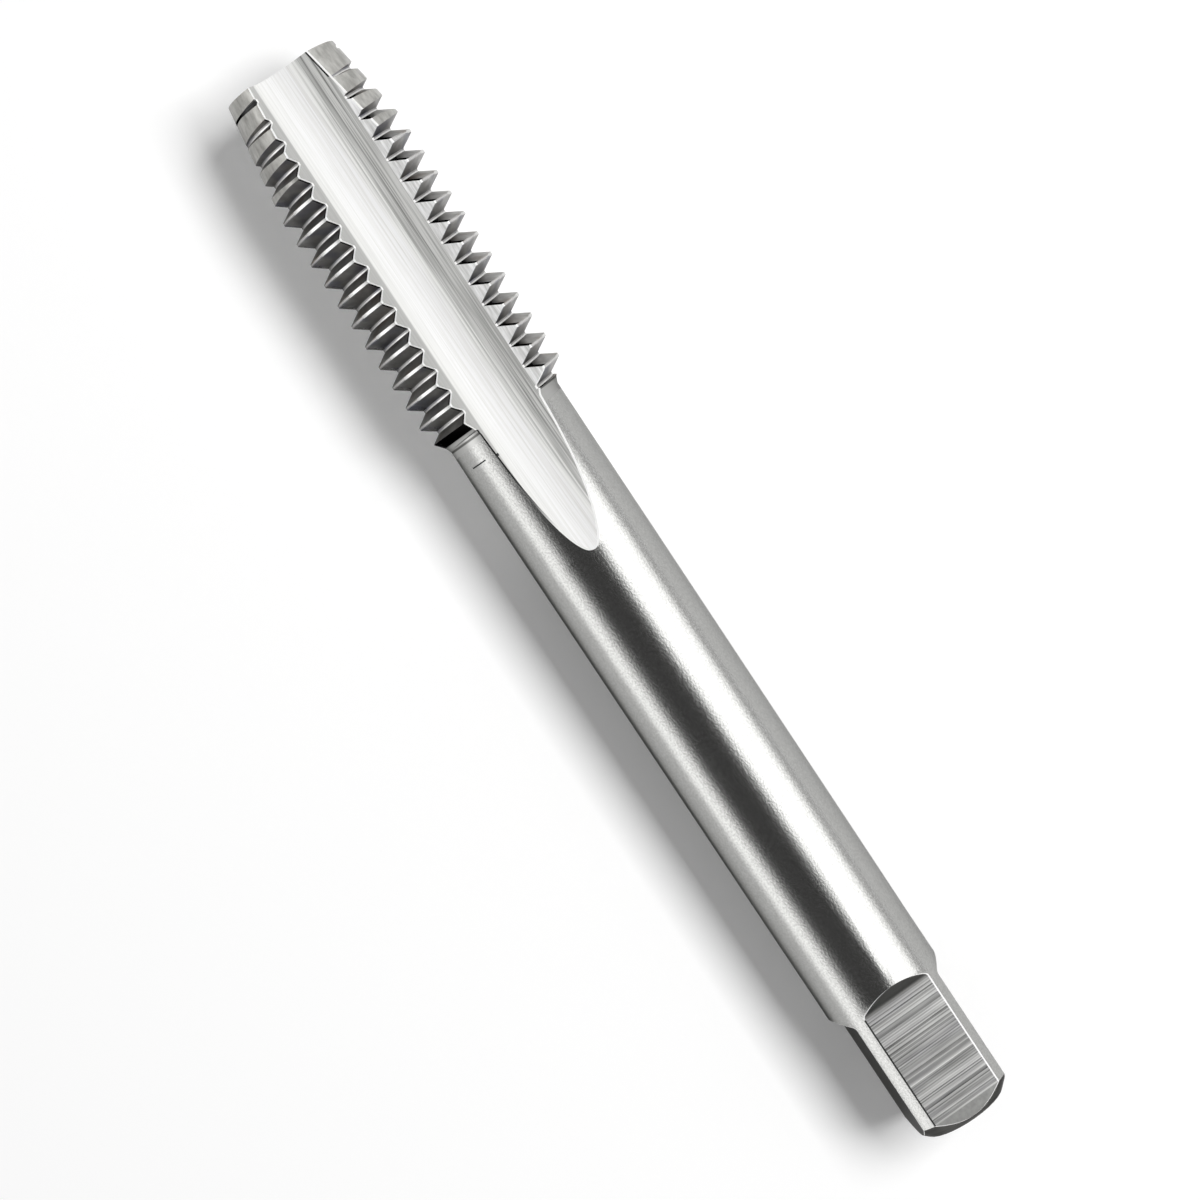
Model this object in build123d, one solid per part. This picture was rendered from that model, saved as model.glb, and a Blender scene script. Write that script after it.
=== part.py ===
"""Straight-flute hand tap, M10 x 1.5 right hand, three flutes, ground from one bar of high-speed steel.

The tap is modelled standing on its tip along +Z, with the cutting face of the first land along +X,
and is laid down on its lands at the end, tip towards -X.
"""
import os
from math import acos, ceil, cos, degrees, radians, sin, sqrt, tan

from build123d import *

# Thread
major_diameter = 10.04
pitch = 1.5
flank_half_angle = 30.0
thread_length = 23.9        # at full diameter, measured from the tip
first_groove = 0.93         # height of the first groove where it meets the cutting face

# Lead chamfer, relieved from the cutting edge down to the heel of each land
tip_diameter = 8.22         # over the cutting edges at the tip
lead_angle = 9.2
relief_drop = 0.38          # radius lost between cutting edge and heel

# Flutes
flute_count = 3
core_diameter = 4.35
flute_opening = 75.4        # angle between cutting edge and the next heel, at full diameter
floor_radius = 1.76         # tight radius at the root of the cutting face
floor_sweep = 74.0          # angle that the tight radius turns through
facet_diameter = 7.94       # where the flat facet along the heel of the teeth begins
facet_opening = 69.2        # angle between cutting edge and that facet
run_out_start = 21.7        # height where the grinding wheel starts to leave the flute
wheel_radius = 47.7
wheel_angle = 35.4          # from the cutting face to the plane of the wheel

# Shank
overall_length = 78.0
shank_diameter = 8.0
collar_diameter = 8.36      # small land left where the back of the thread meets the shank
collar_blend = 0.4
end_chamfer = 1.13

# Driving square, ground as two pairs of opposite flats
square_across_flats = 6.3
first_pair_length = 9.4
second_pair_length = 8.95
square_angle = -33.4        # from the first cutting face to the nearest flat, one of the first pair
shoulder_angle = 45.0
shoulder_radius = 0.4

# Centre holes, one in each end
centre_pilot = 1.25
centre_mouth = 2.65
centre_half_angle = 30.0
centre_depth = 3.0

# Cutters reach this far past what they cut
overshoot = 1.0

# How the tap lies: this turn puts one flute uppermost and one land underneath
lie_angle = 206.5

major_radius = major_diameter / 2
shank_radius = shank_diameter / 2
collar_radius = collar_diameter / 2
core_radius = core_diameter / 2
flat_distance = square_across_flats / 2
flat_count = 4
flats_in_pair = flat_count // 2
flute_step = 360 / flute_count
land_angle = flute_step - flute_opening
spare_angle = land_angle / 5    # how far a land's cutters reach past it on either side
back_of_thread = thread_length + major_radius - collar_radius

# Both the crest and the root of the thread are flats an eighth of the pitch wide
thread_flat = pitch / 8
thread_depth = (pitch - 2 * thread_flat) / 2 / tan(radians(flank_half_angle))
root_radius = major_radius - thread_depth


def around(radius, angle):
    """Point at a radius and an angle from the first cutting face."""
    return Vector(radius * cos(radians(angle)), radius * sin(radians(angle)))


def centre_hole():
    """Centre-drilled hole, opening downwards at the origin."""
    mouth = centre_mouth / 2
    pilot = centre_pilot / 2
    cone_depth = (mouth - pilot) / tan(radians(centre_half_angle))
    outline = Polyline(
        (0, 0), (mouth, 0), (pilot, cone_depth), (pilot, centre_depth - pilot), (0, centre_depth), close=True
    )
    return revolve(Plane.XZ * make_face(outline), Axis.Z)


def turned_blank():
    """Turned form of the tap: thread diameter, back slope, collar, shank and end chamfer."""
    outline = Polyline(
        (0, 0),
        (major_radius, 0),
        (major_radius, thread_length),
        (collar_radius, back_of_thread),
        (shank_radius, back_of_thread + collar_blend),
        (shank_radius, overall_length - end_chamfer),
        (shank_radius - end_chamfer, overall_length),
        (0, overall_length),
        close=True,
    )
    blank = revolve(Plane.XZ * make_face(outline), Axis.Z)
    upper_hole = Pos(0, 0, overall_length) * Rot(180, 0, 0) * centre_hole()
    return blank - centre_hole() - upper_hole


def lead_relief():
    """What the lead grinding takes off the first land: all that stands outside an off-centre cone."""
    edge_radius = tip_diameter / 2
    growth = tan(radians(lead_angle))
    offset = relief_drop / 2 / sin(radians(land_angle / 2))
    middle_radius = edge_radius - relief_drop / 2
    height = (major_radius - edge_radius + relief_drop) / growth + overshoot
    reach = major_radius + overshoot
    sector = make_face(
        Polyline((0, 0), around(reach, -spare_angle), around(reach, land_angle / 2),
                 around(reach, land_angle + spare_angle), close=True)
    )
    wedge = Pos(0, 0, -overshoot) * extrude(sector, height + overshoot)
    cone_outline = Polyline(
        (0, -overshoot),
        (middle_radius - overshoot * growth, -overshoot),
        (middle_radius + height * growth, height),
        (0, height),
        close=True,
    )
    cone = revolve(Plane.XZ * make_face(cone_outline), Axis.Z)
    centre = around(offset, land_angle / 2 - 90)
    return wedge - Pos(centre.X, centre.Y, 0) * cone


def flute_section():
    """Cross-section of what the wheel removes: radial cutting face, tight floor, curved heel and flat facet."""
    floor_start = sqrt(core_radius * (core_radius + 2 * floor_radius))
    reach = major_radius + overshoot
    face = Line((reach, 0), (floor_start, 0))
    floor = JernArc(face @ 1, face % 1, floor_radius, floor_sweep)
    heel = TangentArc(floor @ 1, around(facet_diameter / 2, -facet_opening), tangent=floor % 1)
    heel_edge = around(major_radius, -flute_opening)
    facet = Line(heel @ 1, heel_edge + (heel_edge - heel @ 1).normalized() * overshoot)
    outer_corner = around(reach / cos(radians(flute_opening / 2)), -flute_opening / 2)
    back = Polyline(facet @ 1, outer_corner, face @ 0)
    return make_face(face + floor + heel + facet + back)


def flute():
    """One flute: straight along the thread, then lifted out of the shank round the wheel's own radius."""
    section = flute_section()
    straight = Pos(0, 0, -overshoot) * extrude(section, run_out_start + overshoot)
    wheel_centre = around(core_radius + wheel_radius, -wheel_angle)
    wheel_axis = Axis(
        (wheel_centre.X, wheel_centre.Y, run_out_start),
        (sin(radians(wheel_angle)), cos(radians(wheel_angle)), 0),
    )
    lift = major_radius + overshoot - core_radius
    turn = degrees(acos(1 - lift / wheel_radius))
    run_out = revolve(Pos(0, 0, run_out_start) * section, wheel_axis, turn)
    return straight + run_out


def tooth_gap():
    """One vee between two teeth of the first land, climbing as the thread does and a little wider than the land."""
    overcut = thread_flat / 2
    root_half = thread_flat / 2
    mouth_half = root_half + (thread_depth + overcut) * tan(radians(flank_half_angle))
    outline = Polyline(
        (root_radius, -root_half),
        (major_radius + overcut, -mouth_half),
        (major_radius + overcut, mouth_half),
        (root_radius, root_half),
        close=True,
    )
    span = land_angle + 2 * spare_angle
    path = Helix(pitch, pitch * span / 360, root_radius)
    gap = sweep(Plane.XZ * make_face(outline), path, is_frenet=True)
    return Pos(0, 0, -pitch * spare_angle / 360) * Rot(0, 0, -spare_angle) * gap


def thread_gaps():
    """Every gap of the thread: on each land they stand a pitch apart, and each land starts a third later."""
    gap = tooth_gap()
    turns = ceil(back_of_thread / pitch)
    return [
        Pos(0, 0, first_groove + pitch * (turn + land / flute_count)) * Rot(0, 0, land * flute_step) * gap
        for land in range(flute_count)
        for turn in range(-1, turns)
    ]


def drive_flat(length):
    """Cutter for one flat of the square, with the sloping shoulder that its wheel leaves."""
    reach = shank_radius + overshoot
    flat_start = overall_length - length
    slope_run = (reach - flat_distance) / tan(radians(shoulder_angle))
    outline = Polyline(
        (flat_distance, flat_start),
        (reach, flat_start - slope_run),
        (reach, overall_length + overshoot),
        (flat_distance, overall_length + overshoot),
        close=True,
    )
    section = make_face(outline)
    corner = section.vertices().group_by(Axis.X)[0].sort_by(Axis.Y)[0]
    section = fillet(corner, shoulder_radius)
    return extrude(Plane.XZ * section, reach, both=True)


def around_the_axis(cutter, count, first_angle=0.0):
    """The same cutter, repeated evenly round the tap."""
    return [Rot(0, 0, first_angle + index * 360 / count) * cutter for index in range(count)]


tap = turned_blank()
tap -= around_the_axis(lead_relief(), flute_count)
tap -= around_the_axis(flute(), flute_count)
tap -= around_the_axis(drive_flat(first_pair_length), flats_in_pair, square_angle)
tap -= around_the_axis(drive_flat(second_pair_length), flats_in_pair, square_angle + 360 / flat_count)
tap -= thread_gaps()

# Laid along +X, tip towards -X, with the origin under the middle of the tap where the lands rest
lying = Pos(-overall_length / 2, 0, major_radius) * Rot(lie_angle, 0, 0) * Rot(0, 90, 0) * tap
thread_tap = lying.solid()
thread_tap.label = "thread_tap"

os.makedirs("parts", exist_ok=True)
export_step(thread_tap, "parts/thread_tap.step")
print("volume mm3", round(thread_tap.volume, 1), "faces", len(thread_tap.faces()))
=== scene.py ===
import math

import bmesh
import bpy
import numpy as np
from mathutils import Matrix, Vector


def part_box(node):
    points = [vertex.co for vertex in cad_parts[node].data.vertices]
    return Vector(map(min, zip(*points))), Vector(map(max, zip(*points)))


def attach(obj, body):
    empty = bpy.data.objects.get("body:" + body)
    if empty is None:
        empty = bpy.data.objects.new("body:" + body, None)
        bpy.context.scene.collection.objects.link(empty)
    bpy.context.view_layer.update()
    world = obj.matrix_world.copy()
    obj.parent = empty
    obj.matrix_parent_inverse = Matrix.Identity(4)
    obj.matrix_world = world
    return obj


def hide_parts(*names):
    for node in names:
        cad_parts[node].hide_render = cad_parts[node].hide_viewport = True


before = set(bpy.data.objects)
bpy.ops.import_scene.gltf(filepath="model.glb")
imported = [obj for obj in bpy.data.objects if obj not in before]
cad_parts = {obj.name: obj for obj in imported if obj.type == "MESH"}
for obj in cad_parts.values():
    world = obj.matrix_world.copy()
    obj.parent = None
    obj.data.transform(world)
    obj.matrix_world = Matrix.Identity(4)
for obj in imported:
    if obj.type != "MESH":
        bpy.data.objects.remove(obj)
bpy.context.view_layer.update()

mm = 0.001
nodeLow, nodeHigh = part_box("thread_tap")


def hexToLinear(code):
    # sRGB hex to the linear colour that the shader wants
    channels = [int(code[i:i + 2], 16) / 255 for i in (1, 3, 5)]
    linear = [c / 12.92 if c <= 0.04045 else ((c + 0.055) / 1.055) ** 2.4 for c in channels]
    return (*linear, 1.0)


# shape of the tap, in millimetres and degrees; angles run from the first cutting face across its land
tap = {
    "length": (nodeHigh.x - nodeLow.x) / mm,
    "majorRadius": 5.02,
    "pitch": 1.5,
    "flankAngle": 30.0,
    "threadLength": 23.9,
    "firstGroove": 0.93,
    "tipRadius": 4.11,
    "leadAngle": 9.2,
    "reliefDrop": 0.38,
    "flutes": 3,
    "coreRadius": 2.175,
    "fluteOpening": 75.4,
    "floorRadius": 1.76,
    "floorSweep": 74.0,
    "facetRadius": 3.97,
    "facetOpening": 69.2,
    "runOutStart": 21.7,
    "wheelRadius": 47.7,
    "wheelAngle": 35.4,
    "shankRadius": 4.0,
    "collarRadius": 4.18,
    "collarBlend": 0.4,
    "endChamfer": 1.13,
    "flatDistance": 3.15,
    "flatLengths": (9.4, 8.95),
    "squareAngle": -33.4,
    "shoulderRadius": 0.4,
    "pilotRadius": 0.625,
    "mouthRadius": 1.325,
    "mouthAngle": 60.0,
    "centreDepth": 3.0,
    "lieAngle": 206.5,
}
# how finely the mesh follows that shape: counts of rows and columns, and sizes in millimetres and degrees
tapMesh = {
    "landColumns": 32,
    "fluteColumns": 52,
    "facetColumns": 5,
    "centreColumns": 48,
    "toothRows": (3, 4),  # on a crest and on a flank
    "fineToothRows": (10, 12),  # the same beside the last grooves, where the back slope cuts the teeth
    "fineGrooves": 3,
    "rootRows": 2,
    "neckRows": 24,
    "neckLength": 2.6,
    "runOutRows": 44,
    "shankRows": 24,
    "shoulderRows": 25,
    "flatRows": 15,
    "chamferRows": 17,
    "endRows": 3,
    "edgeBreak": 0.075,
    "edgeShare": 0.125,  # of a narrow flute, where that is less
    "cornerBreak": 0.05,
    "straightPoints": 60,  # of the flute's section
    "curvePoints": 90,
    "faceOvercut": 0.6,
    "facetOvercut": 1.8,  # times the facet's own width
    "samples": 90,  # across a land
    "sampleOverlap": 20.0,
    "runOutSearch": 20.0,
    "sharpAngle": 20.0,
    "weld": 0.0004,
}
# how often a place is worked out again until it no longer moves
rounds = {"groove": 12, "crossing": 6, "runOut": 50}

flutes = tap["flutes"]
fluteStep = 360 / flutes
landAngle = fluteStep - tap["fluteOpening"]
threadFlat = tap["pitch"] / 8
flankSlope = math.tan(math.radians(tap["flankAngle"]))
rootRadius = tap["majorRadius"] - (tap["pitch"] - 2 * threadFlat) / 2 / flankSlope
backOfThread = tap["threadLength"] + tap["majorRadius"] - tap["collarRadius"]
neckStart = backOfThread + tap["collarBlend"]


def blankRadius(x):
    # the turned blank: thread diameter, 45 degree back slope, collar, shank
    slope = tap["majorRadius"] - (x - tap["threadLength"])
    drop = tap["collarRadius"] - tap["shankRadius"]
    blend = tap["collarRadius"] - (x - backOfThread) * drop / tap["collarBlend"]
    return np.where(x < tap["threadLength"], tap["majorRadius"],
                    np.where(x < backOfThread, slope, np.maximum(blend, tap["shankRadius"])))


def leadRadius(x, angle):
    # relieved lead: a cone whose centre is pushed towards the cutting edge of each land
    margin = (fluteStep - landAngle) / 2
    local = np.radians(np.mod(angle + margin, fluteStep) - margin)
    offset = tap["reliefDrop"] / 2 / math.sin(math.radians(landAngle / 2))
    towards = math.radians(landAngle / 2 - 90)
    cone = tap["tipRadius"] - tap["reliefDrop"] / 2 + x * math.tan(math.radians(tap["leadAngle"]))
    along = offset * np.cos(local - towards)
    return along + np.sqrt(cone ** 2 - offset ** 2 + along ** 2)


def capRadius(x, angle):
    return np.minimum(blankRadius(x), leadRadius(x, angle))


def threadRadius(x, angle):
    # right-hand thread: flat root in the middle of each groove, then straight flanks
    turn = (x - tap["firstGroove"]) / tap["pitch"] - angle / 360
    away = np.abs(turn - np.round(turn)) * tap["pitch"]
    return rootRadius + np.maximum(away - threadFlat / 2, 0) / flankSlope


def outerRadius(x, angle):
    return np.minimum(capRadius(x, angle), threadRadius(x, angle))


def clockwise(radius, degrees):
    # point of a flute's section at an angle from its cutting face, towards its heel
    turn = math.radians(degrees)
    return radius * np.array([math.cos(turn), -math.sin(turn)])


def turned(vector, angle):
    return np.array([vector[0] * math.cos(angle) - vector[1] * math.sin(angle),
                     vector[0] * math.sin(angle) + vector[1] * math.cos(angle)])


def fluteProfile():
    # cross-section of one flute as points: radial cutting face, tight floor, curved heel, flat facet
    straight, curved = tapMesh["straightPoints"], tapMesh["curvePoints"]
    core, tight = tap["coreRadius"], tap["floorRadius"]
    floorStart = math.sqrt(core * (core + 2 * tight))
    faceStart = tap["majorRadius"] + tapMesh["faceOvercut"]
    face = [(r, 0.0) for r in np.linspace(faceStart, floorStart, straight)]
    sweep = math.radians(tap["floorSweep"])
    floor = [(floorStart - tight * math.sin(a), tight * math.cos(a) - tight)
             for a in np.linspace(0, sweep, curved)[1:]]
    start = np.array(floor[-1])
    inward = np.array([math.sin(sweep), -math.cos(sweep)])
    facetStart = clockwise(tap["facetRadius"], tap["facetOpening"])
    chord = facetStart - start
    heelRadius = chord @ chord / 2 / (inward @ chord)
    heelSweep = 2 * math.asin(np.linalg.norm(chord) / 2 / heelRadius)
    centre = start + inward * heelRadius
    heel = [centre - turned(inward, a) * heelRadius for a in np.linspace(0, heelSweep, curved)[1:]]
    facetWidth = clockwise(tap["majorRadius"], tap["fluteOpening"]) - facetStart
    facet = [facetStart + facetWidth * d for d in np.linspace(0, tapMesh["facetOvercut"], straight)[1:]]
    points = np.array(face + floor + heel + facet)
    places = np.concatenate([[0], np.cumsum(np.linalg.norm(np.diff(points, axis=0), axis=1))])
    return points, places, places[len(face + floor + heel) - 1]


profile, profileLength, facetPlace = fluteProfile()
wheelPlane = clockwise(1, tap["wheelAngle"])


def liftedPoints(points, x):
    # past the run-out start the wheel climbs out, so the section lifts along the wheel's plane
    rim = tap["wheelRadius"] - (points @ wheelPlane - tap["coreRadius"])
    travel = np.maximum(x - tap["runOutStart"], 0)
    lift = rim - np.sqrt(rim ** 2 - travel ** 2)
    return points + lift[..., None] * wheelPlane


def runOutTip():
    # where the section just leaves the shank: x, angle and place along the section
    low, high = tap["runOutStart"], tap["runOutStart"] + tapMesh["runOutSearch"]
    for _ in range(rounds["runOut"]):
        middle = (low + high) / 2
        nearest = np.linalg.norm(liftedPoints(profile, middle), axis=1).min()
        low, high = (middle, high) if nearest < tap["shankRadius"] else (low, middle)
    points = liftedPoints(profile, low)
    nearest = np.argmin(np.linalg.norm(points, axis=1))
    return low, math.degrees(math.atan2(points[nearest, 1], points[nearest, 0])), profileLength[nearest]


tipX, tipAngle, tipPlace = runOutTip()
overlap = tapMesh["sampleOverlap"]
sampleAngles = np.linspace(-overlap, landAngle + overlap, tapMesh["samples"])


def rowsUpTo(first, last, count):
    # so many rows after the first one, the last one among them
    return [first + (last - first) * t for t in np.linspace(0, 1, count + 1)[1:-1]] + [last]


def grooveHalf(centre, angles, side):
    # half the width of a groove at the outside of the tap, before (-1) or after (1) its middle
    half = np.full_like(angles, threadFlat / 2)
    for _ in range(rounds["groove"]):
        rise = np.maximum(capRadius(np.maximum(centre + side * half, 0), angles) - rootRadius, 0)
        half = threadFlat / 2 + rise * flankSlope
    return half


def landRows(land):
    # lines that run across a land with the climb of the thread, one on every edge of every tooth
    angles = sampleAngles + land * fluteStep
    rows, kinds = [np.zeros_like(angles)], []
    grooves = math.ceil(backOfThread / tap["pitch"])
    for turn in range(-1, grooves):
        centre = tap["firstGroove"] + tap["pitch"] * (turn + angles / 360)
        fine = turn >= grooves - tapMesh["fineGrooves"]
        crest, flank = tapMesh["fineToothRows" if fine else "toothRows"]
        stops = [(centre - grooveHalf(centre, angles, -1), "crest", crest),
                 (centre - threadFlat / 2, "backFlank", flank),
                 (centre + threadFlat / 2, "root", tapMesh["rootRows"]),
                 (centre + grooveHalf(centre, angles, 1), "frontFlank", flank)]
        for stop, kind, count in stops:
            rows += rowsUpTo(rows[-1], np.maximum(stop, 0), count)
            kinds += [kind] * count
    straight = np.full_like(angles, neckStart + tapMesh["neckLength"])
    rows += rowsUpTo(rows[-1], straight, tapMesh["neckRows"])
    for t in np.linspace(0, 1, tapMesh["runOutRows"] + 1)[1:]:
        rows.append(np.full_like(angles, tipX - (tipX - straight[0]) * (1 - t) ** 2))
    kinds += ["shank"] * (tapMesh["neckRows"] + tapMesh["runOutRows"])
    return np.array(rows), kinds


rowSets = [landRows(land) for land in range(flutes)]
rowCount = len(rowSets[0][0])
print("tap rows", rowCount, "run-out ends at", round(tipX, 2), "angle", round(tipAngle, 1))


def rowX(land, row, angle):
    return np.interp(angle - land * fluteStep, sampleAngles, rowSets[land][0][row])


def crossing(flute, land, row, side):
    # where the flute's section meets the outside of a land: its place along the section, x and angle
    if row == rowCount - 1:
        return tipPlace, tipX, tipAngle + flute * fluteStep
    angle = flute * fluteStep - (0 if side == "cutting" else tap["fluteOpening"])
    wrap = 360 if flute == 0 and side == "heel" else 0
    step = -1 if side == "cutting" else 1
    for _ in range(rounds["crossing"]):
        x = rowX(land, row, angle + wrap)
        moved = liftedPoints(profile, x)
        angles = np.degrees(np.arctan2(moved[:, 1], moved[:, 0])) + flute * fluteStep
        beyond = np.linalg.norm(moved, axis=1) - outerRadius(np.full(len(moved), x), angles)
        deepest = int(np.argmin(beyond))
        outside = deepest
        while beyond[outside] <= 0:
            outside += step
        inside = outside - step if outside != deepest else outside
        share = beyond[inside] / (beyond[inside] - beyond[outside]) if inside != outside else 0
        place = profileLength[inside] + share * (profileLength[outside] - profileLength[inside])
        angle = angles[inside] + share * (angles[outside] - angles[inside])
    return place, x, angle + wrap


edges = {}
for flute in range(flutes):
    for row in range(rowCount):
        edges[flute, row, "cutting"] = crossing(flute, flute, row, "cutting")
        edges[flute, row, "heel"] = crossing(flute, (flute - 1) % flutes, row, "heel")
print("tap edges solved", len(edges))


def tapPoint(x, radius, angle):
    # tap lying along X with its axis one thread radius above the floor, in millimetres
    turn = np.radians(180 - angle - tap["lieAngle"])
    return np.stack([np.broadcast_to(x, np.shape(turn)) - tap["length"] / 2, radius * np.sin(turn),
                     tap["majorRadius"] + radius * np.cos(turn)], axis=-1)


tapPoints, tapFaces, tapFinishes = [], [], []


def addGrid(rows, finish):
    # rows: rows of points; finish: a name, or a function of row and column that gives one
    start = sum(len(points) for points in tapPoints)
    count, width = rows.shape[:2]
    tapPoints.append(rows.reshape(-1, 3))
    for row in range(count - 1):
        for column in range(width - 1):
            corner = start + row * width + column
            tapFaces.append((corner, corner + 1, corner + width + 1, corner + width))
            tapFinishes.append(finish(row, column) if callable(finish) else finish)


landCount, fluteCount, facetCount = tapMesh["landColumns"], tapMesh["fluteColumns"], tapMesh["facetColumns"]
tiny = 1e-9  # keeps a division going where a flute has run out to nothing


def edgeBreak(flute, row):
    # the broken edge narrows to nothing at the tip of the run-out
    width = edges[flute, row, "heel"][0] - edges[flute, row, "cutting"][0]
    return min(tapMesh["edgeBreak"], width * tapMesh["edgeShare"])


def landGrid(land):
    # outside of one land, from beside its cutting edge to beside its heel
    grid = []
    nextFlute = (land + 1) % flutes
    for row in range(rowCount):
        last = row == rowCount - 1
        startAngle = edges[land, row, "cutting"][2]
        endAngle = startAngle + fluteStep if last else edges[nextFlute, row, "heel"][2]
        turns = [math.degrees(edgeBreak(flute, row) / tap["shankRadius"]) for flute in (land, nextFlute)]
        angles = np.linspace(startAngle + turns[0], endAngle - turns[1], landCount + 1)
        x = np.full_like(angles, tipX) if last else rowX(land, row, angles)
        grid.append(tapPoint(x, outerRadius(x, angles), angles))
    return np.array(grid)


def fluteGrid(flute):
    # hollow of one flute, from beside its heel over the facet and the floor to beside its cutting edge
    grid = []
    for row in range(rowCount):
        cutPlace, cutX, _ = edges[flute, row, "cutting"]
        heelPlace, heelX, _ = edges[flute, row, "heel"]
        share = edgeBreak(flute, row) / max(heelPlace - cutPlace, tiny)
        heelPlace, cutPlace = heelPlace - edgeBreak(flute, row), cutPlace + edgeBreak(flute, row)
        heelX, cutX = heelX + share * (cutX - heelX), cutX + share * (heelX - cutX)
        split = min(heelPlace, facetPlace)
        places = np.concatenate([np.linspace(heelPlace, split, facetCount + 1)[:-1],
                                 np.linspace(split, cutPlace, fluteCount - facetCount + 1)])
        x = heelX + (places - heelPlace) / min(cutPlace - heelPlace, -tiny) * (cutX - heelX)
        flat = np.stack([np.interp(places, profileLength, profile[:, k]) for k in (0, 1)], axis=-1)
        lifted = liftedPoints(flat, x)
        angle = np.degrees(np.arctan2(lifted[:, 1], lifted[:, 0])) + flute * fluteStep
        grid.append(tapPoint(x, np.linalg.norm(lifted, axis=1), angle))
    return np.array(grid)


lands = [landGrid(land) for land in range(flutes)]
hollows = [fluteGrid(flute) for flute in range(flutes)]
print("tap lands and flutes laid out", len(lands) + len(hollows))

# where the finishes of the thread change; the bright crest is a painted highlight, the shaded columns and the
# heel line are painted shade
finishLimits = {
    "brightCrest": (0.3, 0.7),  # part of a crest's width that stays bright up to the heel
    "shadedColumns": 2,  # dark end of a front flank at the heel
    "heelLine": 0.55,  # dark line beside the heel, in pitches past the first groove
    "neck": 0.3,  # millimetres behind the collar where the shank's own finish starts
}
leadRise = tap["majorRadius"] - tap["tipRadius"] + tap["reliefDrop"]
leadEnd = leadRise / math.tan(math.radians(tap["leadAngle"]))
firstGrooveEnd = tap["firstGroove"] + tap["pitch"] / 2


def crestFinish(kinds, row, column):
    # the crest's painted highlight thins towards the heel, where only its middle keeps the bright line
    first = row - next(k for k in range(row + 1) if row == k or kinds[row - k - 1] != "crest")
    count = next(k for k in range(first, len(kinds)) if kinds[k] != "crest") - first
    share = (row - first + 0.5) / count
    low, high = finishLimits["brightCrest"]
    if column < landCount / 2 or low < share < high:
        return "crest"
    return "frontFlank" if share < 0.5 else "backFlank"


def landFinish(kinds, grid, row, column):
    # by kind of row, apart from the lead, the back slope and the flanks' dark ends of painted shade
    kind, x = kinds[row], grid[row, 0, 0] + tap["length"] / 2
    if x > neckStart + finishLimits["neck"]:
        return "shank"
    if kind == "crest" and x < leadEnd - tap["pitch"]:
        return "lead"
    if x > backOfThread or x > tap["threadLength"] and kind in ("crest", "shank"):
        return "back"
    if kind == "crest":
        return crestFinish(kinds, row, column)
    if x < firstGrooveEnd:
        # a shallow first groove, seen only as a dark line of painted shade on the shaded side
        shaded = grid[row, column, 1] < 0
        return {"root": "flankEdge", "frontFlank": "root"}.get(kind, kind) if shaded else "lead"
    if kind == "root" and kinds[row - 1] != "root":
        return "backFlank"
    # painted shade at the heel end of every front flank and beside the cutting edge on every flank
    if kind == "frontFlank" and column >= landCount - finishLimits["shadedColumns"]:
        return "flankEdge"
    return "flankEdge" if kind.endswith("Flank") and column == 0 else kind


def heelFinish(kinds, grid, row):
    # the heel edge has a painted glint on the crests and the roots and stays dark down the flanks, with
    # painted shade on the front flanks
    kind, x = kinds[row], grid[row, -1, 0] + tap["length"] / 2
    if kind == "frontFlank" and firstGrooveEnd < x < tap["threadLength"]:
        return "flankEdge"
    return "backFlank" if kind == "backFlank" and x < tap["threadLength"] else "edge"


def fluteFinish(grid, row, column):
    if column < facetCount:
        return "facet"
    x = grid[row, 0, 0] + tap["length"] / 2
    # a line of painted shade beside the heel, just past the first groove
    lineEnd = tap["firstGroove"] + tap["pitch"] * finishLimits["heelLine"]
    return "flankEdge" if column == facetCount and x < lineEnd else "flute"


def edgeFinish(flute, row):
    # the cutting edge, which goes on as the rim of the run-out behind the thread; a painted glint along the
    # thread, painted shade turning into a glint along the run-out
    return "runOutEdge" if edges[flute, row, "cutting"][1] > backOfThread else "edge"


for flute in range(flutes):
    hollow, land, landBefore = hollows[flute], lands[flute], lands[flute - 1]
    kinds, kindsBefore = rowSets[flute][1], rowSets[flute - 1][1]
    addGrid(land, lambda row, column: landFinish(kinds, land, row, column))
    addGrid(hollow, lambda row, column: fluteFinish(hollow, row, column))
    addGrid(np.stack([hollow[:, -1], land[:, 0]], axis=1), lambda row, column: edgeFinish(flute, row))
    addGrid(np.stack([landBefore[:, -1], hollow[:, 0]], axis=1),
            lambda row, column: heelFinish(kindsBefore, landBefore, row))

# the square: every flat begins with a 45 degree shoulder that blends into it
shoulderTurn = math.radians(45)
shoulderBlend = tap["shoulderRadius"] * math.tan(shoulderTurn / 2)
chamferStart = tap["length"] - tap["endChamfer"]
slope = tap["shankRadius"] - tap["flatDistance"]
flatEnd = chamferStart + slope
shoulderStarts = [tap["length"] - length - slope for length in tap["flatLengths"]]
shoulderEnds = [start + slope + shoulderBlend for start in shoulderStarts]
squareStart, shoulderEnd = min(shoulderStarts), max(shoulderEnds)


def flatDepth(x, length):
    # distance from the axis to a flat, its rounded corner or its sloping shoulder
    radius = tap["shoulderRadius"]
    start = tap["length"] - length
    end = start + shoulderBlend
    if x >= end:
        return tap["flatDistance"]
    if x >= end - radius * math.sin(shoulderTurn):
        return tap["flatDistance"] + radius - math.sqrt(radius ** 2 - (end - x) ** 2)
    return tap["flatDistance"] + start - x


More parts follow.
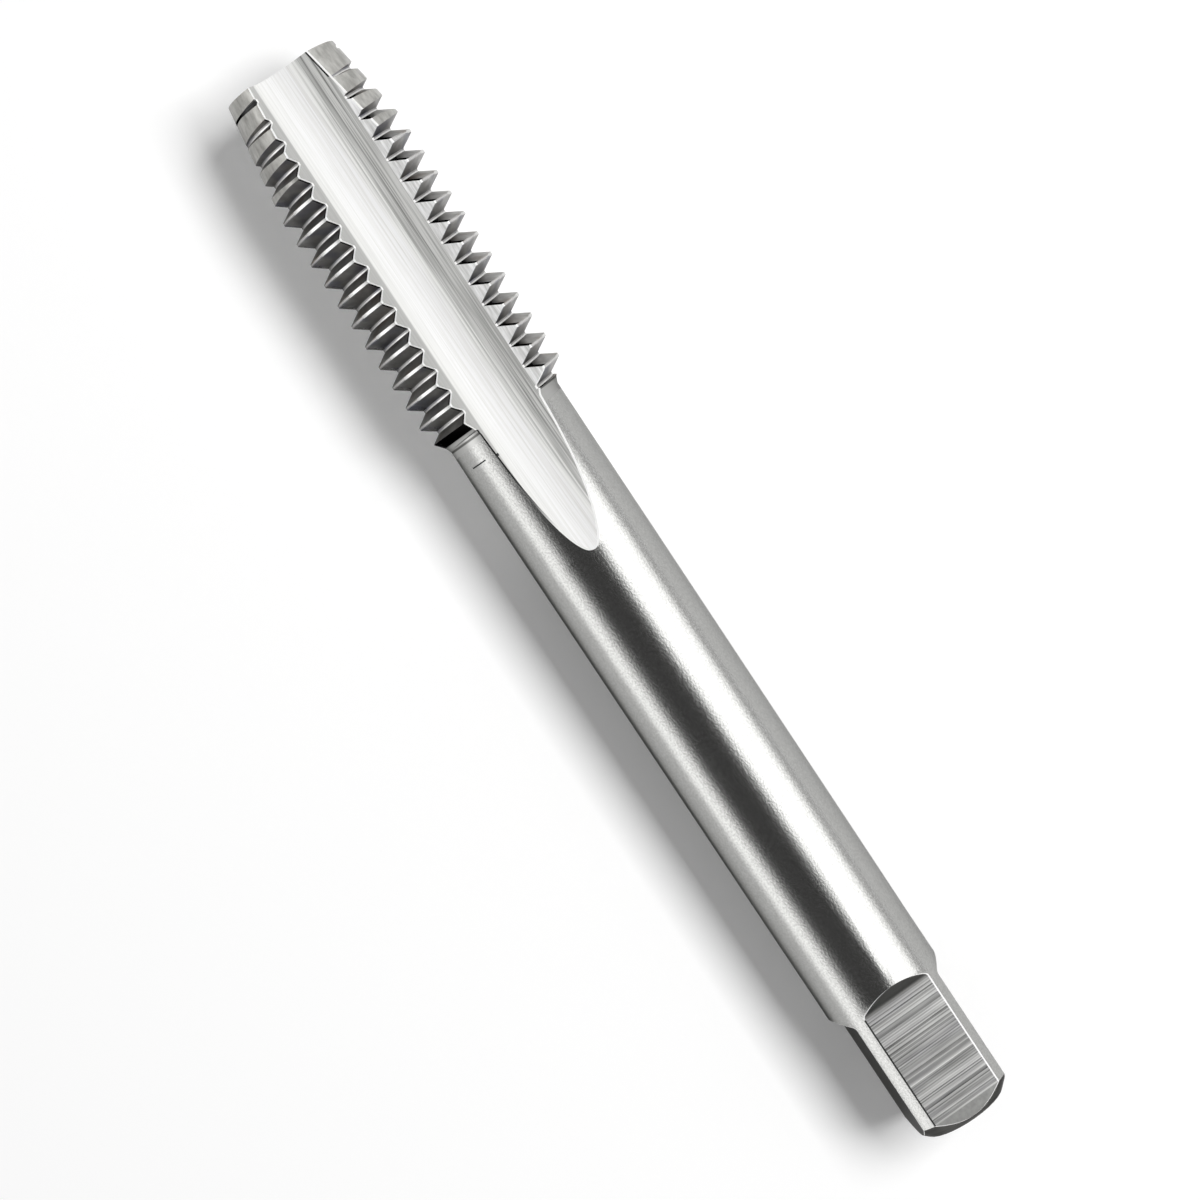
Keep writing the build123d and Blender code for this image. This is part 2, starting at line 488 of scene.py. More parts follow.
def squareSection(x, count):
    # outline at x, four quarters of: half a flat, a round corner, half of the next flat, corners broken
    outer = min(tap["shankRadius"], tap["shankRadius"] - (x - chamferStart))
    depths = [flatDepth(x, length) for length in tap["flatLengths"]]
    halves = [math.degrees(math.acos(min(depth / outer, 1))) for depth in depths]
    breaks = [min(math.degrees(tapMesh["cornerBreak"] / outer), half / 3) for half in halves]
    flats = list(zip(depths, halves, breaks))
    step = count // 3
    angles, radii = [], []
    for index in range(4):
        depth, half, broken = flats[index % 2]
        nextDepth, nextHalf, nextBroken = flats[(index + 1) % 2]
        first = np.linspace(0, half - broken, step)
        middle = np.linspace(half + broken, 90 - nextHalf - nextBroken, step + 1)
        last = np.linspace(90 - nextHalf + nextBroken, 90, step)[:-1]
        angles += list(np.concatenate([first, middle, last]) + 90 * index + tap["squareAngle"])
        radii += list(np.minimum(outer, depth / np.cos(np.radians(first)))) + [outer] * (step + 1)
        radii += list(np.minimum(outer, nextDepth / np.cos(np.radians(90 - last))))
    return np.array(angles + [angles[0] + 360]), np.array(radii + [radii[0]])


def squareRowPlaces():
    # rows close together on the shoulders and the chamfer, even ones along the flats
    eased = np.linspace(0, 1, tapMesh["shoulderRows"] + 1) ** 2
    rows = [start + (end - start) * t for start, end in zip(shoulderStarts, shoulderEnds) for t in eased]
    rows = sorted(set(np.round(rows, 3)))
    rows += list(np.linspace(shoulderEnd, chamferStart, tapMesh["flatRows"] + 1)[1:])
    rows += [flatEnd - slope * (1 - t) ** 2 for t in np.linspace(0, 1, tapMesh["chamferRows"] + 1)[1:]]
    return rows + list(np.linspace(flatEnd, tap["length"], tapMesh["endRows"] + 1)[1:])


quarter = landCount * flutes // 4  # the shank has as many columns as all the lands together
squareRows = squareRowPlaces()
squareOutlines = [(x, *squareSection(x, quarter)) for x in squareRows]
turns = [np.linspace(tipAngle + k * fluteStep, tipAngle + (k + 1) * fluteStep, landCount + 1)[:-1]
         for k in range(flutes)]
ringAngles = np.concatenate(turns + [[tipAngle + 360]])
squareAngles = squareSection(squareStart, quarter)[0]
shank = []
for t in np.linspace(0, 1, tapMesh["shankRows"] + 1):
    angles = ringAngles + (squareAngles - ringAngles) * t
    shank.append(tapPoint(tipX + (squareStart - tipX) * t, tap["shankRadius"], angles))


def squareFinish(row, column):
    # by place in a quarter: half a flat, broken edge, round corner, broken edge, half of the next flat
    middle = (squareRows[row] + squareRows[row + 1]) / 2
    step, place = quarter // 3, column % quarter
    if middle > flatEnd:
        return "chamfer"
    # broken edges of the square carry a painted glint, with painted shade on the shaded side between shoulder
    # and chamfer
    if place in (step - 1, 2 * step):
        flat = (column // quarter + (place == 2 * step)) % 2
        return "cornerEdge" if shoulderEnds[flat] < middle < chamferStart else "edge"
    if step <= place < 2 * step:
        return "shank" if middle < chamferStart else "chamfer"
    flat = (column // quarter + (place > step)) % 2
    if middle < shoulderEnds[flat]:
        return "shoulder"
    # the side flats are painted dark as shade
    if flat == 1:
        return "sideFlat"
    return "squareFlat" if middle < chamferStart else "flatEnd"


def centreHole(end, inward):
    # centre-drilled hole: sloping mouth, pilot and the drill's own point
    coneDepth = (tap["mouthRadius"] - tap["pilotRadius"]) / math.tan(math.radians(tap["mouthAngle"] / 2))
    steps = [(tap["mouthRadius"], 0), (tap["pilotRadius"], coneDepth),
             (tap["pilotRadius"], tap["centreDepth"] - tap["pilotRadius"]), (0.0, tap["centreDepth"])]
    angles = np.linspace(0, 360, tapMesh["centreColumns"] + 1)
    rows = [tapPoint(end + inward * depth, np.full(len(angles), radius), angles) for radius, depth in steps]
    addGrid(np.array(rows), "centre")


addGrid(np.array(shank), "shank")
addGrid(np.array([tapPoint(x, radii, angles) for x, angles, radii in squareOutlines]), squareFinish)
centreHole(0.0, 1)
centreHole(tap["length"], -1)
print("tap grids ready", len(tapPoints))


def buildTap():
    # one closed mesh: the grids welded together and the two ends filled round their centre holes
    finishNames = list(tapLooks)
    bm = bmesh.new()
    verts = [bm.verts.new(point) for point in np.concatenate(tapPoints)]
    for corners, finish in zip(tapFaces, tapFinishes):
        face = bm.faces.new([verts[i] for i in corners])
        face.material_index = finishNames.index(finish)
    bmesh.ops.remove_doubles(bm, verts=bm.verts, dist=tapMesh["weld"])
    bmesh.ops.dissolve_degenerate(bm, dist=tapMesh["weld"] / 4, edges=bm.edges)
    for end in (-tap["length"] / 2, tap["length"] / 2):
        rim = [edge for edge in bm.edges
               if edge.is_boundary and all(abs(vert.co.x - end) < tapMesh["weld"] / 4 for vert in edge.verts)]
        filled = bmesh.ops.triangle_fill(bm, edges=rim, use_beauty=True)
        for item in filled["geom"]:
            if isinstance(item, bmesh.types.BMFace):
                item.material_index = finishNames.index("face")
    bmesh.ops.recalc_face_normals(bm, faces=bm.faces)
    bmesh.ops.scale(bm, vec=(mm, mm, mm), verts=bm.verts)
    for face in bm.faces:
        face.smooth = True
    for edge in bm.edges:
        if len(edge.link_faces) == 2:
            first, second = edge.link_faces
            sharp = edge.calc_face_angle(0) > math.radians(tapMesh["sharpAngle"])
            edge.smooth = first.material_index == second.material_index and not sharp
    openEdges = sum(1 for edge in bm.edges if len(edge.link_faces) != 2)
    print("tap faces", len(bm.faces), "edges without two faces", openEdges)
    data = bpy.data.meshes.new("tapBody")
    bm.to_mesh(data)
    bm.free()
    return bpy.data.objects.new("tapBody", data)


def addNode(tree, kind, inputs=None, **settings):
    # one node with its settings; an input is a value or another node's output
    node = tree.nodes.new(kind)
    for name, value in settings.items():
        setattr(node, name, value)
    for name, value in (inputs or {}).items():
        if isinstance(value, bpy.types.NodeSocket):
            tree.links.new(value, node.inputs[name])
        else:
            node.inputs[name].default_value = value
    return node


def newMaterial(name):
    material = bpy.data.materials.new(name)
    material.use_nodes = True
    return material, material.node_tree, material.node_tree.nodes["Principled BSDF"]


def fillRamp(ramp, stops):
    # a new ramp has two stops of its own, the others are added
    elements = ramp.color_ramp.elements
    for index, (position, colour) in enumerate(stops):
        element = elements[index] if index < 2 else elements.new(1.0)
        element.position = position
        element.color = colour


def noiseLevels(tree, place, look):
    # noise with a grain of the given size, brought to a range of 0 to 1; the raw height comes back too
    perMetre = [1 / (size * mm) for size in look["grain"]]
    spread = addNode(tree, "ShaderNodeMapping", {"Vector": place, "Scale": perMetre})
    spread.inputs["Rotation"].default_value = [math.radians(a) for a in look.get("turn", (0, 0, 0))]
    grain = addNode(tree, "ShaderNodeTexNoise", {"Vector": spread.outputs["Vector"], "Scale": 1.0,
                                                 "Detail": look["detail"], "Roughness": 0.6})
    low, high = look["range"]
    levels = addNode(tree, "ShaderNodeMapRange", {"Value": grain.outputs["Fac"],
                                                  "From Min": low, "From Max": high})
    return levels.outputs["Result"], grain.outputs["Fac"]


def mixed(tree, factor, first, second):
    # colour between two others, each a hex code or an output; 6, 7 and 2 are the node's colour sockets
    mix = addNode(tree, "ShaderNodeMix", {"Factor": factor}, data_type="RGBA")
    for socket, colour in ((mix.inputs[6], first), (mix.inputs[7], second)):
        if isinstance(colour, str):
            socket.default_value = hexToLinear(colour)
        else:
            tree.links.new(colour, socket)
    return mix.outputs[2]


def acrossFlutes(tree, place):
    # a flat map of every flute: length along the tap, then width to either side of the flute's middle
    middle = math.radians(180 - tap["lieAngle"] + tap["wheelAngle"])
    step = math.radians(fluteStep)
    split = addNode(tree, "ShaderNodeSeparateXYZ", {"Vector": place})
    height = addNode(tree, "ShaderNodeMath", {0: split.outputs["Z"], 1: tap["majorRadius"] * mm},
                     operation="SUBTRACT")
    angle = addNode(tree, "ShaderNodeMath", {0: split.outputs["Y"], 1: height.outputs["Value"]},
                    operation="ARCTAN2")
    local = addNode(tree, "ShaderNodeMath", {0: middle + step / 2, 1: angle.outputs["Value"]},
                    operation="SUBTRACT")
    folded = addNode(tree, "ShaderNodeMath", {0: local.outputs["Value"], 1: step},
                     operation="FLOORED_MODULO")
    side = addNode(tree, "ShaderNodeMath", {0: folded.outputs["Value"], 1: step / 2}, operation="SUBTRACT")
    sine = addNode(tree, "ShaderNodeMath", {0: side.outputs["Value"]}, operation="SINE")
    arm = addNode(tree, "ShaderNodeCombineXYZ", {"Y": split.outputs["Y"], "Z": height.outputs["Value"]})
    reach = addNode(tree, "ShaderNodeVectorMath", {0: arm.outputs["Vector"]}, operation="LENGTH")
    width = addNode(tree, "ShaderNodeMath", {0: sine.outputs["Value"], 1: reach.outputs["Value"]},
                    operation="MULTIPLY")
    flat = addNode(tree, "ShaderNodeCombineXYZ", {"X": split.outputs["X"], "Y": width.outputs["Value"]})
    return flat.outputs["Vector"]


def tones(tree, value, stopsMm, origin=0.0):
    # colour that changes with a distance, from stops in millimetres
    first, last = stopsMm[0][0], stopsMm[-1][0]
    part = addNode(tree, "ShaderNodeMapRange", {"Value": value, "From Min": (first + origin) * mm,
                                                "From Max": (last + origin) * mm})
    ramp = addNode(tree, "ShaderNodeValToRGB", {"Fac": part.outputs["Result"]})
    fillRamp(ramp, [((distance - first) / (last - first), hexToLinear(code)) for distance, code in stopsMm])
    return ramp.outputs["Color"]


def slantedLength(tree, split, slant):
    # length along the tap, leaning to one side by a slope
    slanted = addNode(tree, "ShaderNodeMath", {0: split.outputs["Y"], 1: slant, 2: split.outputs["X"]},
                      operation="MULTIPLY_ADD")
    return slanted.outputs["Value"]


def marked(tree, split, colour, mark):
    # a short nick: inside its length and its width, on the upper side only
    middleX = (mark["x"] - tap["length"] / 2 + mark["slant"] * mark["y"]) * mm
    along = addNode(tree, "ShaderNodeMath", {0: slantedLength(tree, split, mark["slant"]), 1: middleX,
                                             2: mark["halfX"] * mm}, operation="COMPARE")
    around = addNode(tree, "ShaderNodeMath", {0: split.outputs["Y"], 1: mark["y"] * mm,
                                              2: mark["halfY"] * mm}, operation="COMPARE")
    above = addNode(tree, "ShaderNodeMath", {0: split.outputs["Z"], 1: tap["majorRadius"] * mm},
                    operation="GREATER_THAN")
    both = addNode(tree, "ShaderNodeMath", {0: along.outputs["Value"], 1: around.outputs["Value"]},
                   operation="MULTIPLY")
    inside = addNode(tree, "ShaderNodeMath", {0: both.outputs["Value"], 1: above.outputs["Value"]},
                     operation="MULTIPLY")
    return mixed(tree, inside.outputs["Value"], colour, mark["colour"])


def groundLines(tree, along, level, widths):
    # straight lines across the tap, each with a tone of its own, in two widths laid over each other
    for width, amount in widths:
        cell = addNode(tree, "ShaderNodeMath", {0: along, 1: width * mm}, operation="SNAP")
        counted = addNode(tree, "ShaderNodeMath", {0: cell.outputs["Value"], 1: 1 / (width * mm)},
                          operation="MULTIPLY")
        tone = addNode(tree, "ShaderNodeTexWhiteNoise", {"W": counted.outputs["Value"]},
                       noise_dimensions="1D")
        mix = addNode(tree, "ShaderNodeMix", {"Factor": amount, "A": level, "B": tone.outputs["Value"]})
        level = mix.outputs["Result"]
    return level


def baseColour(tree, split, flat, level, look):
    # tones that change along the tap, or a pale and a deep one mixed by the pattern; tones along the tap, by
    # side or by width hold painted light and shade
    if "along" in look:
        return tones(tree, slantedLength(tree, split, look["slant"]), look["along"], -tap["length"] / 2)
    pale, deep = look["pale"], look["deep"]
    if "by" in look:
        across = addNode(tree, "ShaderNodeSeparateXYZ", {"Vector": flat}).outputs["Y"]
        pale, deep = tones(tree, across, pale), tones(tree, across, deep)
    if "lines" in look:
        level = groundLines(tree, split.outputs["X"], level, look["lines"])
    return mixed(tree, level, deep, pale)


def steel(look):
    # ground tool steel, coloured and finely ruffled by one stretched pattern
    material, tree, shader = newMaterial("highSpeedSteel" + look["process"])
    place = addNode(tree, "ShaderNodeTexCoord").outputs["Object"]
    split = addNode(tree, "ShaderNodeSeparateXYZ", {"Vector": place})
    flat = acrossFlutes(tree, place) if look.get("by") == "width" else place
    level, height = noiseLevels(tree, flat, look)
    colour = baseColour(tree, split, flat, level, look)
    for tint in look.get("tints", []):
        patches, _ = noiseLevels(tree, place, tint)
        share = addNode(tree, "ShaderNodeMath", {0: patches, 1: tint["amount"]}, operation="MULTIPLY")
        colour = mixed(tree, share.outputs["Value"], colour, tint["colour"])
    for mark in look.get("marks", []):
        colour = marked(tree, split, colour, mark)
    bump = addNode(tree, "ShaderNodeBump", {"Height": height, "Strength": look["ruffle"],
                                            "Distance": look["height"] * mm})
    tree.links.new(colour, shader.inputs["Base Color"])
    tree.links.new(bump.outputs["Normal"], shader.inputs["Normal"])
    shader.inputs["Metallic"].default_value = look["metal"]
    shader.inputs["Roughness"].default_value = look["roughness"]
    # grazing reflections tinted by side from the axis: painted shade on the shaded side, lighter on the lit
    # one
    if "rims" in look:
        tree.links.new(tones(tree, split.outputs["Y"], look["rims"]), shader.inputs["Specular Tint"])
    if "rim" in look:
        shader.inputs["Specular Tint"].default_value = hexToLinear(look["rim"])
    if "across" in look:
        shader.inputs["Anisotropic"].default_value = look["across"]
        shader.inputs["Anisotropic Rotation"].default_value = 0.25  # a quarter turn from the tangent
        along = addNode(tree, "ShaderNodeCombineXYZ", {"X": 1.0})
        tree.links.new(along.outputs["Vector"], shader.inputs["Tangent"])
    return material


# grain is the size of the pattern in millimetres along, across and up; colours change by width from the
# middle of a flute or by side from the axis, which paints light and shade into them; real grinding lines lie
# about 0.03 mm apart, drawn coarser so that they show
groundSteel = {"range": (0.3, 0.7), "detail": 2.0, "ruffle": 0.2, "height": 0.006, "metal": 1.0,
               "roughness": 0.3}  # what a finish has where it says nothing else
# white paint for the broken edges: a painted glint laid on the real edge break
glintEdgePaint = {"pale": "#ffffff", "deep": "#fafaf8", "grain": (1.7, 1.7, 1.7), "ruffle": 0.0, "height": 0.004,
               "metal": 0.45, "roughness": 0.8}
# painted glint and painted shade on the square's broken corners by side: dark over part of the shaded side,
# white elsewhere
paintedCornerGlintAndShade = [(-2.6, "#fafaf8"), (-2.4, "#3a3a3a"), (-1.0, "#3a3a3a"), (0.0, "#ffffff")]
# soft patches with a slight cast of colour
blueTint = {"colour": "#5a5f78", "grain": (1.4, 2.0, 2.0), "range": (0.5, 0.64), "detail": 1.0,
            "amount": 0.35}
brownTint = {"colour": "#8b7c70", "grain": (2.0, 1.4, 1.4), "range": (0.5, 0.66), "detail": 1.0,
             "amount": 0.45, "turn": (40, 0, 0)}
purpleTint = {"colour": "#8f8a9e", "grain": (0.7, 5.0, 5.0), "range": (0.5, 0.7), "detail": 1.0,
              "amount": 0.1}
tapLooks = {
    # thin bright line along the top of every tooth, partly a painted highlight, with painted shade towards
    # the outline on the shaded side
    "crest": {
        "process": "ThreadGroundCrestPaintedLight", "by": "side",
        "pale": [(-4.8, "#7c7c7a"), (-3.9, "#dcdcda")], "deep": [(-4.8, "#70706e"), (-3.9, "#cececc")],
        "grain": (0.25, 0.25, 0.25), "ruffle": 0.1, "height": 0.004, "roughness": 0.25},
    # dull grey steps of the lead, painted lighter on the lit side
    "lead": {
        "process": "ReliefGroundLeadPaintedLight", "by": "side",
        "pale": [(-1.0, "#afaeaa"), (1.0, "#c6c5c1")], "deep": [(-1.0, "#8c8b87"), (1.0, "#9f9e9a")],
        "grain": (1.1, 0.45, 0.45), "range": (0.35, 0.65), "detail": 4.0, "ruffle": 0.3, "height": 0.004,
        "roughness": 0.34},
    # dark slopes with a warm cast that face the tip, painted lighter on the lit side, with painted shade
    # towards the heel on the lit side
    "frontFlank": {
        "process": "ThreadGroundFrontFlankPaintedLight", "by": "side",
        "pale": [(-1.0, "#b5b4b2"), (1.0, "#d2d1cf"), (3.2, "#3a3a3a"), (3.8, "#d2d1cf")],
        "deep": [(-1.0, "#999896"), (1.0, "#b2b1af"), (3.2, "#2a2a2a"), (3.8, "#b2b1af")],
        "rims": [(-1.0, "#606060"), (1.0, "#c0c0c0"), (3.2, "#404040"), (3.8, "#c0c0c0")],
        "grain": (1.1, 0.8, 0.8), "detail": 3.0, "ruffle": 0.3, "roughness": 0.42, "tints": [brownTint]},
    # darker slopes with a blue cast that face the shank, with a painted highlight towards the tooth tips on
    # the lit side and painted shade in their grazing reflections on the shaded side
    "backFlank": {
        "process": "ThreadGroundBackFlankPaintedLight", "by": "side",
        "pale": [(-1.0, "#aaa9a8"), (3.4, "#a6a5a4"), (4.3, "#e6e5e4")],
        "deep": [(-1.0, "#8e8d8c"), (3.4, "#8a8988"), (4.3, "#c4c3c2")],
        "rims": [(-1.0, "#202020"), (1.0, "#a8a8a8")],
        "grain": (1.1, 0.8, 0.8), "detail": 3.0, "ruffle": 0.3, "roughness": 0.42, "tints": [blueTint]},
    # near-black painted shade where a flank ends at a flute
    "flankEdge": {
        "process": "PaintedShadeFlankEdge", "pale": "#3a3a3a", "deep": "#2a2a2a", "rim": "#404040",
        "grain": (1.1, 0.8, 0.8), "detail": 3.0, "ruffle": 0.1},
    # narrow bright line at the bottom of every groove, partly a painted highlight, with painted shade fading
    # it on the shaded side
    "root": {
        "process": "ThreadGroundRootPaintedLight", "by": "side",
        "pale": [(-3.9, "#62625f"), (-3.2, "#dcdcda")], "deep": [(-3.9, "#565654"), (-3.2, "#c2c2c0")],
        "grain": (0.5, 0.5, 0.5), "ruffle": 0.1, "height": 0.004, "roughness": 0.25},
    # black painted shade on the slope behind the last tooth, then a grey collar that ends in a thin dark line
    # of painted shade
    "back": {
        "process": "TurnedBackSlopePaintedShade", "slant": 0.05,
        "along": [(23.76, "#1a1a1a"), (24.48, "#0e0e0e"), (24.52, "#b0b0ae"), (24.58, "#b0b0ae"),
                  (24.64, "#b4b4b2"), (24.86, "#acacaa"), (24.91, "#6a6a68"), (25.01, "#6a6a68"),
                  (25.05, "#b6b6b4")],
        "rims": [(-1.0, "#909090"), (1.0, "#a0a0a0")],
        "grain": (0.25, 0.25, 0.25), "ruffle": 0.1, "height": 0.004},
    # broad hollow painted white as its reflection and greyer towards its sides as painted shade, with long
    # grinding lines on its heel side and a small nick at the run-out
    "flute": {
        "process": "WheelGroundFlutePaintedLight", "by": "width",
        "pale": [(-2.4, "#e0e0de"), (-1.5, "#e0e0de"), (-1.2, "#dededc"), (-1.0, "#f2f2f0"),
                 (-0.7, "#fbfbf9"), (-0.4, "#ffffff"), (1.0, "#ffffff"), (1.8, "#f4f4f2"),
                 (1.95, "#f2f2f0"), (2.05, "#c6c6c4"), (3.1, "#bebebc")],
        "deep": [(-2.4, "#989896"), (-1.5, "#8a8a88"), (-1.2, "#8e8e8c"), (-1.0, "#acacaa"),
                 (-0.7, "#dadad8"), (-0.4, "#ecebe9"), (1.0, "#f4f4f2"), (1.8, "#eaeae8"),
                 (1.95, "#e8e8e6"), (2.05, "#bcbcba"), (3.1, "#b6b6b4")],
        "grain": (11.0, 0.12, 0.12), "range": (0.32, 0.58), "detail": 3.0, "metal": 0.45, "roughness": 0.9,
        "across": 0.6,
        "marks": [{"x": 26.75, "y": -1.57, "halfX": 0.09, "halfY": 0.07, "slant": 0.0,
                   "colour": "#2c2c2c"}]},
    # facet beside every heel edge, painted pale as a highlight, with slanting grinding lines
    "facet": {
        "process": "WheelGroundHeelFacetPaintedHighlight", "pale": "#ffffff", "deep": "#d4d4d2",
        "grain": (2.0, 0.22, 0.22), "turn": (0, 0, 30), "range": (0.3, 0.65), "detail": 3.0,
        "metal": 0.5, "roughness": 0.9, "across": 0.6},
    # painted white glint along the broken edges
    "edge": {**glintEdgePaint, "process": "PaintedGlintEdge"},
    # the same painted glint on the square, with painted shade on its shaded side
    "cornerEdge": {**glintEdgePaint, "process": "PaintedGlintAndShadeCorner", "by": "side", "pale": paintedCornerGlintAndShade,
                   "deep": paintedCornerGlintAndShade},
    # painted black shade beside the run-out that turns into a painted glint towards its end
    "runOutEdge": {
        **glintEdgePaint, "process": "PaintedShadeAndGlintRunOutEdge", "slant": 0.0,
        "along": [(24.7, "#1c1c1c"), (28.5, "#202020"), (30.5, "#707070"), (32.5, "#f4f4f2")]},
    # smooth shank that mirrors soft grey and white bands, with a faint peel and one short scratch; its
    # grazing reflections are painted darker on the shaded side
    "shank": {
        "process": "CentrelessGroundShankPaintedRimShade", "pale": "#bebebc", "deep": "#acacaa",
        "rims": [(-1.0, "#585858"), (1.0, "#c8c8c8")], "grain": (0.14, 0.14, 0.14), "range": (0.35, 0.65),
        "detail": 3.0, "ruffle": 0.7, "height": 0.018, "roughness": 0.22,
        "marks": [{"x": 26.64, "y": -2.85, "halfX": 0.045, "halfY": 0.48, "slant": 0.04,
                   "colour": "#3c3c3c"}]},
    # upper flat of the square with bright and dark grinding lines straight across it
    "squareFlat": {
        "process": "CrossGroundFlat", "pale": "#eeeeec", "deep": "#1c1c1b", "grain": (0.3, 3.0, 3.0),
        "ruffle": 0.3, "lines": [(0.16, 0.65), (0.078, 0.5)], "tints": [purpleTint]},
    # the flats to either side, painted dark as shade, with faint lines along them
    "sideFlat": {
        "process": "LengthGroundFlatPaintedShade", "pale": "#7c7c7a", "deep": "#666664",
        "rims": [(-1.0, "#909090"), (1.0, "#a8a8a8")],
        "grain": (3.3, 3.3, 0.2), "range": (0.4, 0.6), "detail": 3.0, "ruffle": 0.3},
    # plain grey end of a flat where the chamfer cuts it
    "flatEnd": {
        "process": "FineGroundFlatEnd", "pale": "#a8a8a6", "deep": "#989896",
        "grain": (0.33, 0.33, 0.33), "detail": 3.0, "ruffle": 0.3},
    # dark crescent where a flat begins, its grazing reflections painted darker on the shaded side
    "shoulder": {
        "process": "GroundShoulderPaintedRimShade", "pale": "#929290", "deep": "#828280",
        "rims": [(-1.0, "#606060"), (1.0, "#b0b0b0")], "grain": (0.33, 3.3, 0.33), "roughness": 0.35},
    # dark rim round the square end
    "chamfer": {
        "process": "TurnedChamfer", "pale": "#787876", "deep": "#646362", "rim": "#949494",
        "grain": (0.17, 1.25, 1.25)},
    # plain grey inside the centre holes
    "centre": {
        "process": "DrilledCentre", "pale": "#b0b0ae", "deep": "#90908e", "grain": (0.17, 1.25, 1.25)},
    # plain pale grey ends
    "face": {
        "process": "TurnedEnd", "pale": "#bcbcba", "deep": "#acacaa", "grain": (1.25, 0.33, 0.33),
        "detail": 3.0},
}
tapBody = buildTap()
bpy.context.scene.collection.objects.link(tapBody)
for look in tapLooks.values():
    tapBody.data.materials.append(steel({**groundSteel, **look}))
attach(tapBody, "root")
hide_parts("thread_tap")
print("tap finishes made", len(tapLooks))

# camera high over the tap, in millimetres, with its own right and down as directions
cameraValues = {
    "place": (-16.02, 0.0, 188.79),
    "right": (0.55209, 0.83287, 0.03902),
    "down": (0.82983, -0.55342, 0.07153),
    "lens": 88.24,
    "sensor": 36.0,
    "clipStart": 1.0,
}


def placeCamera():
    data = bpy.data.cameras.new("camera")
    data.lens = cameraValues["lens"]
    data.sensor_width = cameraValues["sensor"]
    data.clip_start = cameraValues["clipStart"] * mm
    camera = bpy.data.objects.new("camera", data)
    right = Vector(cameraValues["right"]).normalized()
    up = -Vector(cameraValues["down"]).normalized()
    turn = Matrix((right, up, right.cross(up))).transposed().to_4x4()
    camera.matrix_world = Matrix.Translation(Vector(cameraValues["place"]) * mm) @ turn
    bpy.context.scene.collection.objects.link(camera)
    bpy.context.scene.camera = camera


placeCamera()
print("camera placed")

# matt white paper, with painted shade that makes it a little greyer where the steel mirrors it
paperLook = {"halfWidth": 1000.0, "colour": "#ffffff", "mirrored": "#eeeeee", "roughness": 0.9}


def layPaper():
    half = paperLook["halfWidth"] * mm
    corners = [(-half, -half, 0), (half, -half, 0), (half, half, 0), (-half, half, 0)]
    data = bpy.data.meshes.new("floor")
    data.from_pydata(corners, [], [(0, 1, 2, 3)])
    floor = bpy.data.objects.new("floor", data)
    bpy.context.scene.collection.objects.link(floor)
    material, tree, shader = newMaterial("paperFloor")
    mirrored = addNode(tree, "ShaderNodeLightPath").outputs["Is Glossy Ray"]
    colour = mixed(tree, mirrored, paperLook["colour"], paperLook["mirrored"])
    tree.links.new(colour, shader.inputs["Base Color"])
    shader.inputs["Roughness"].default_value = paperLook["roughness"]
    shader.inputs["Specular IOR Level"].default_value = 0.0
    data.materials.append(material)
    return floor


floor = layPaper()
print("paper laid")

# what the steel sees round it, as brightness at an angle from straight up, positive to the lit side, and
# the lamp, in degrees, metres and watts
studio = {
    "fill": 0.35,
    "ends": 0.25,
    "endsFrom": 0.5,
    "endsFull": 0.9,
    "seen": [(-100, 1.2), (-90, 1.55), (-82, 2.0), (-72, 1.85), (-62, 1.25), (-54, 0.45), (-46, 0.09),
             (12, 0.07), (18, 1.1), (24, 2.6), (66, 2.4), (74, 1.5), (82, 0.4), (90, 0.7)],
    "backdrop": 1.0,
    "lampAngle": 29.0,
    "lampDistance": 0.6,
    "lampSize": (0.35, 0.2),
    "lampPower": 2.98,
}


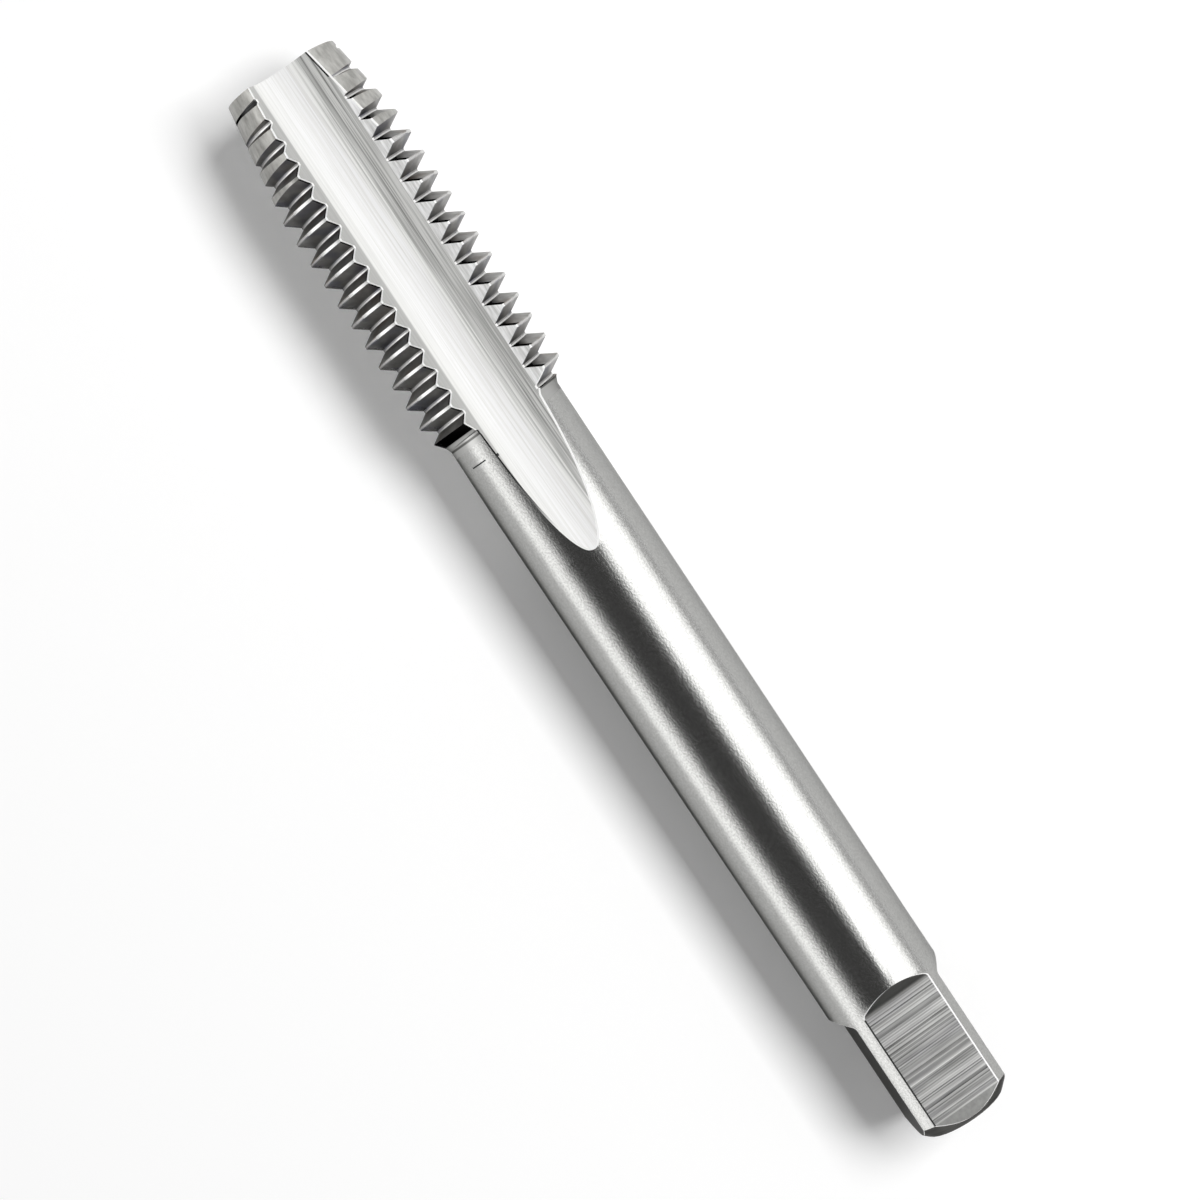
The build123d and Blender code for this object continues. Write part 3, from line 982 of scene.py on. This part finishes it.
def lightSky():
    # bands of light round the tap for what it mirrors, an even fill for the rest, white for the camera
    world = bpy.data.worlds.new("studio")
    bpy.context.scene.world = world
    world.use_nodes = True
    sky = world.node_tree
    direction = addNode(sky, "ShaderNodeTexCoord")
    split = addNode(sky, "ShaderNodeSeparateXYZ", {"Vector": direction.outputs["Generated"]})
    around = addNode(sky, "ShaderNodeMath", {0: split.outputs["Y"], 1: split.outputs["Z"]},
                     operation="ARCTAN2")
    share = addNode(sky, "ShaderNodeMapRange", {"Value": around.outputs["Value"],
                                                "From Min": -math.pi, "From Max": math.pi})
    bands = addNode(sky, "ShaderNodeValToRGB", {"Fac": share.outputs["Result"]})
    brightest = max(level for _, level in studio["seen"])
    greys = [((angle + 180) / 360, (level / brightest,) * 3 + (1,)) for angle, level in studio["seen"]]
    fillRamp(bands, greys)
    lit = addNode(sky, "ShaderNodeMath", {0: bands.outputs["Color"], 1: brightest}, operation="MULTIPLY")
    lengthwise = addNode(sky, "ShaderNodeMath", {0: split.outputs["X"]}, operation="ABSOLUTE")
    atEnds = addNode(sky, "ShaderNodeMapRange", {"Value": lengthwise.outputs["Value"],
                                                 "From Min": studio["endsFrom"],
                                                 "From Max": studio["endsFull"]},
                     interpolation_type="SMOOTHSTEP")
    seen = addNode(sky, "ShaderNodeMix", {"Factor": atEnds.outputs["Result"], "A": lit.outputs["Value"],
                                          "B": studio["ends"]})
    path = addNode(sky, "ShaderNodeLightPath")
    strength = addNode(sky, "ShaderNodeMix", {"Factor": path.outputs["Is Glossy Ray"], "A": studio["fill"],
                                              "B": seen.outputs["Result"]})
    plain = addNode(sky, "ShaderNodeMix", {"Factor": path.outputs["Is Camera Ray"],
                                           "A": strength.outputs["Result"], "B": studio["backdrop"]})
    background = sky.nodes["Background"]
    background.inputs["Color"].default_value = (1, 1, 1, 1)
    sky.links.new(plain.outputs["Result"], background.inputs["Strength"])


def hangSoftbox():
    # one broad lamp on the lit side, which the steel doesn't mirror
    data = bpy.data.lights.new("softbox", "AREA")
    data.shape = "RECTANGLE"
    data.size, data.size_y = studio["lampSize"]
    data.energy = studio["lampPower"]
    lamp = bpy.data.objects.new("softbox", data)
    lean, distance = math.radians(studio["lampAngle"]), studio["lampDistance"]
    lamp.location = (0, distance * math.sin(lean), distance * math.cos(lean))
    lamp.rotation_euler = (-lean, 0, 0)
    lamp.visible_glossy = False
    bpy.context.scene.collection.objects.link(lamp)


lightSky()
hangSoftbox()
print("sky and softbox lit")

bpy.context.scene.view_settings.view_transform = "Standard"
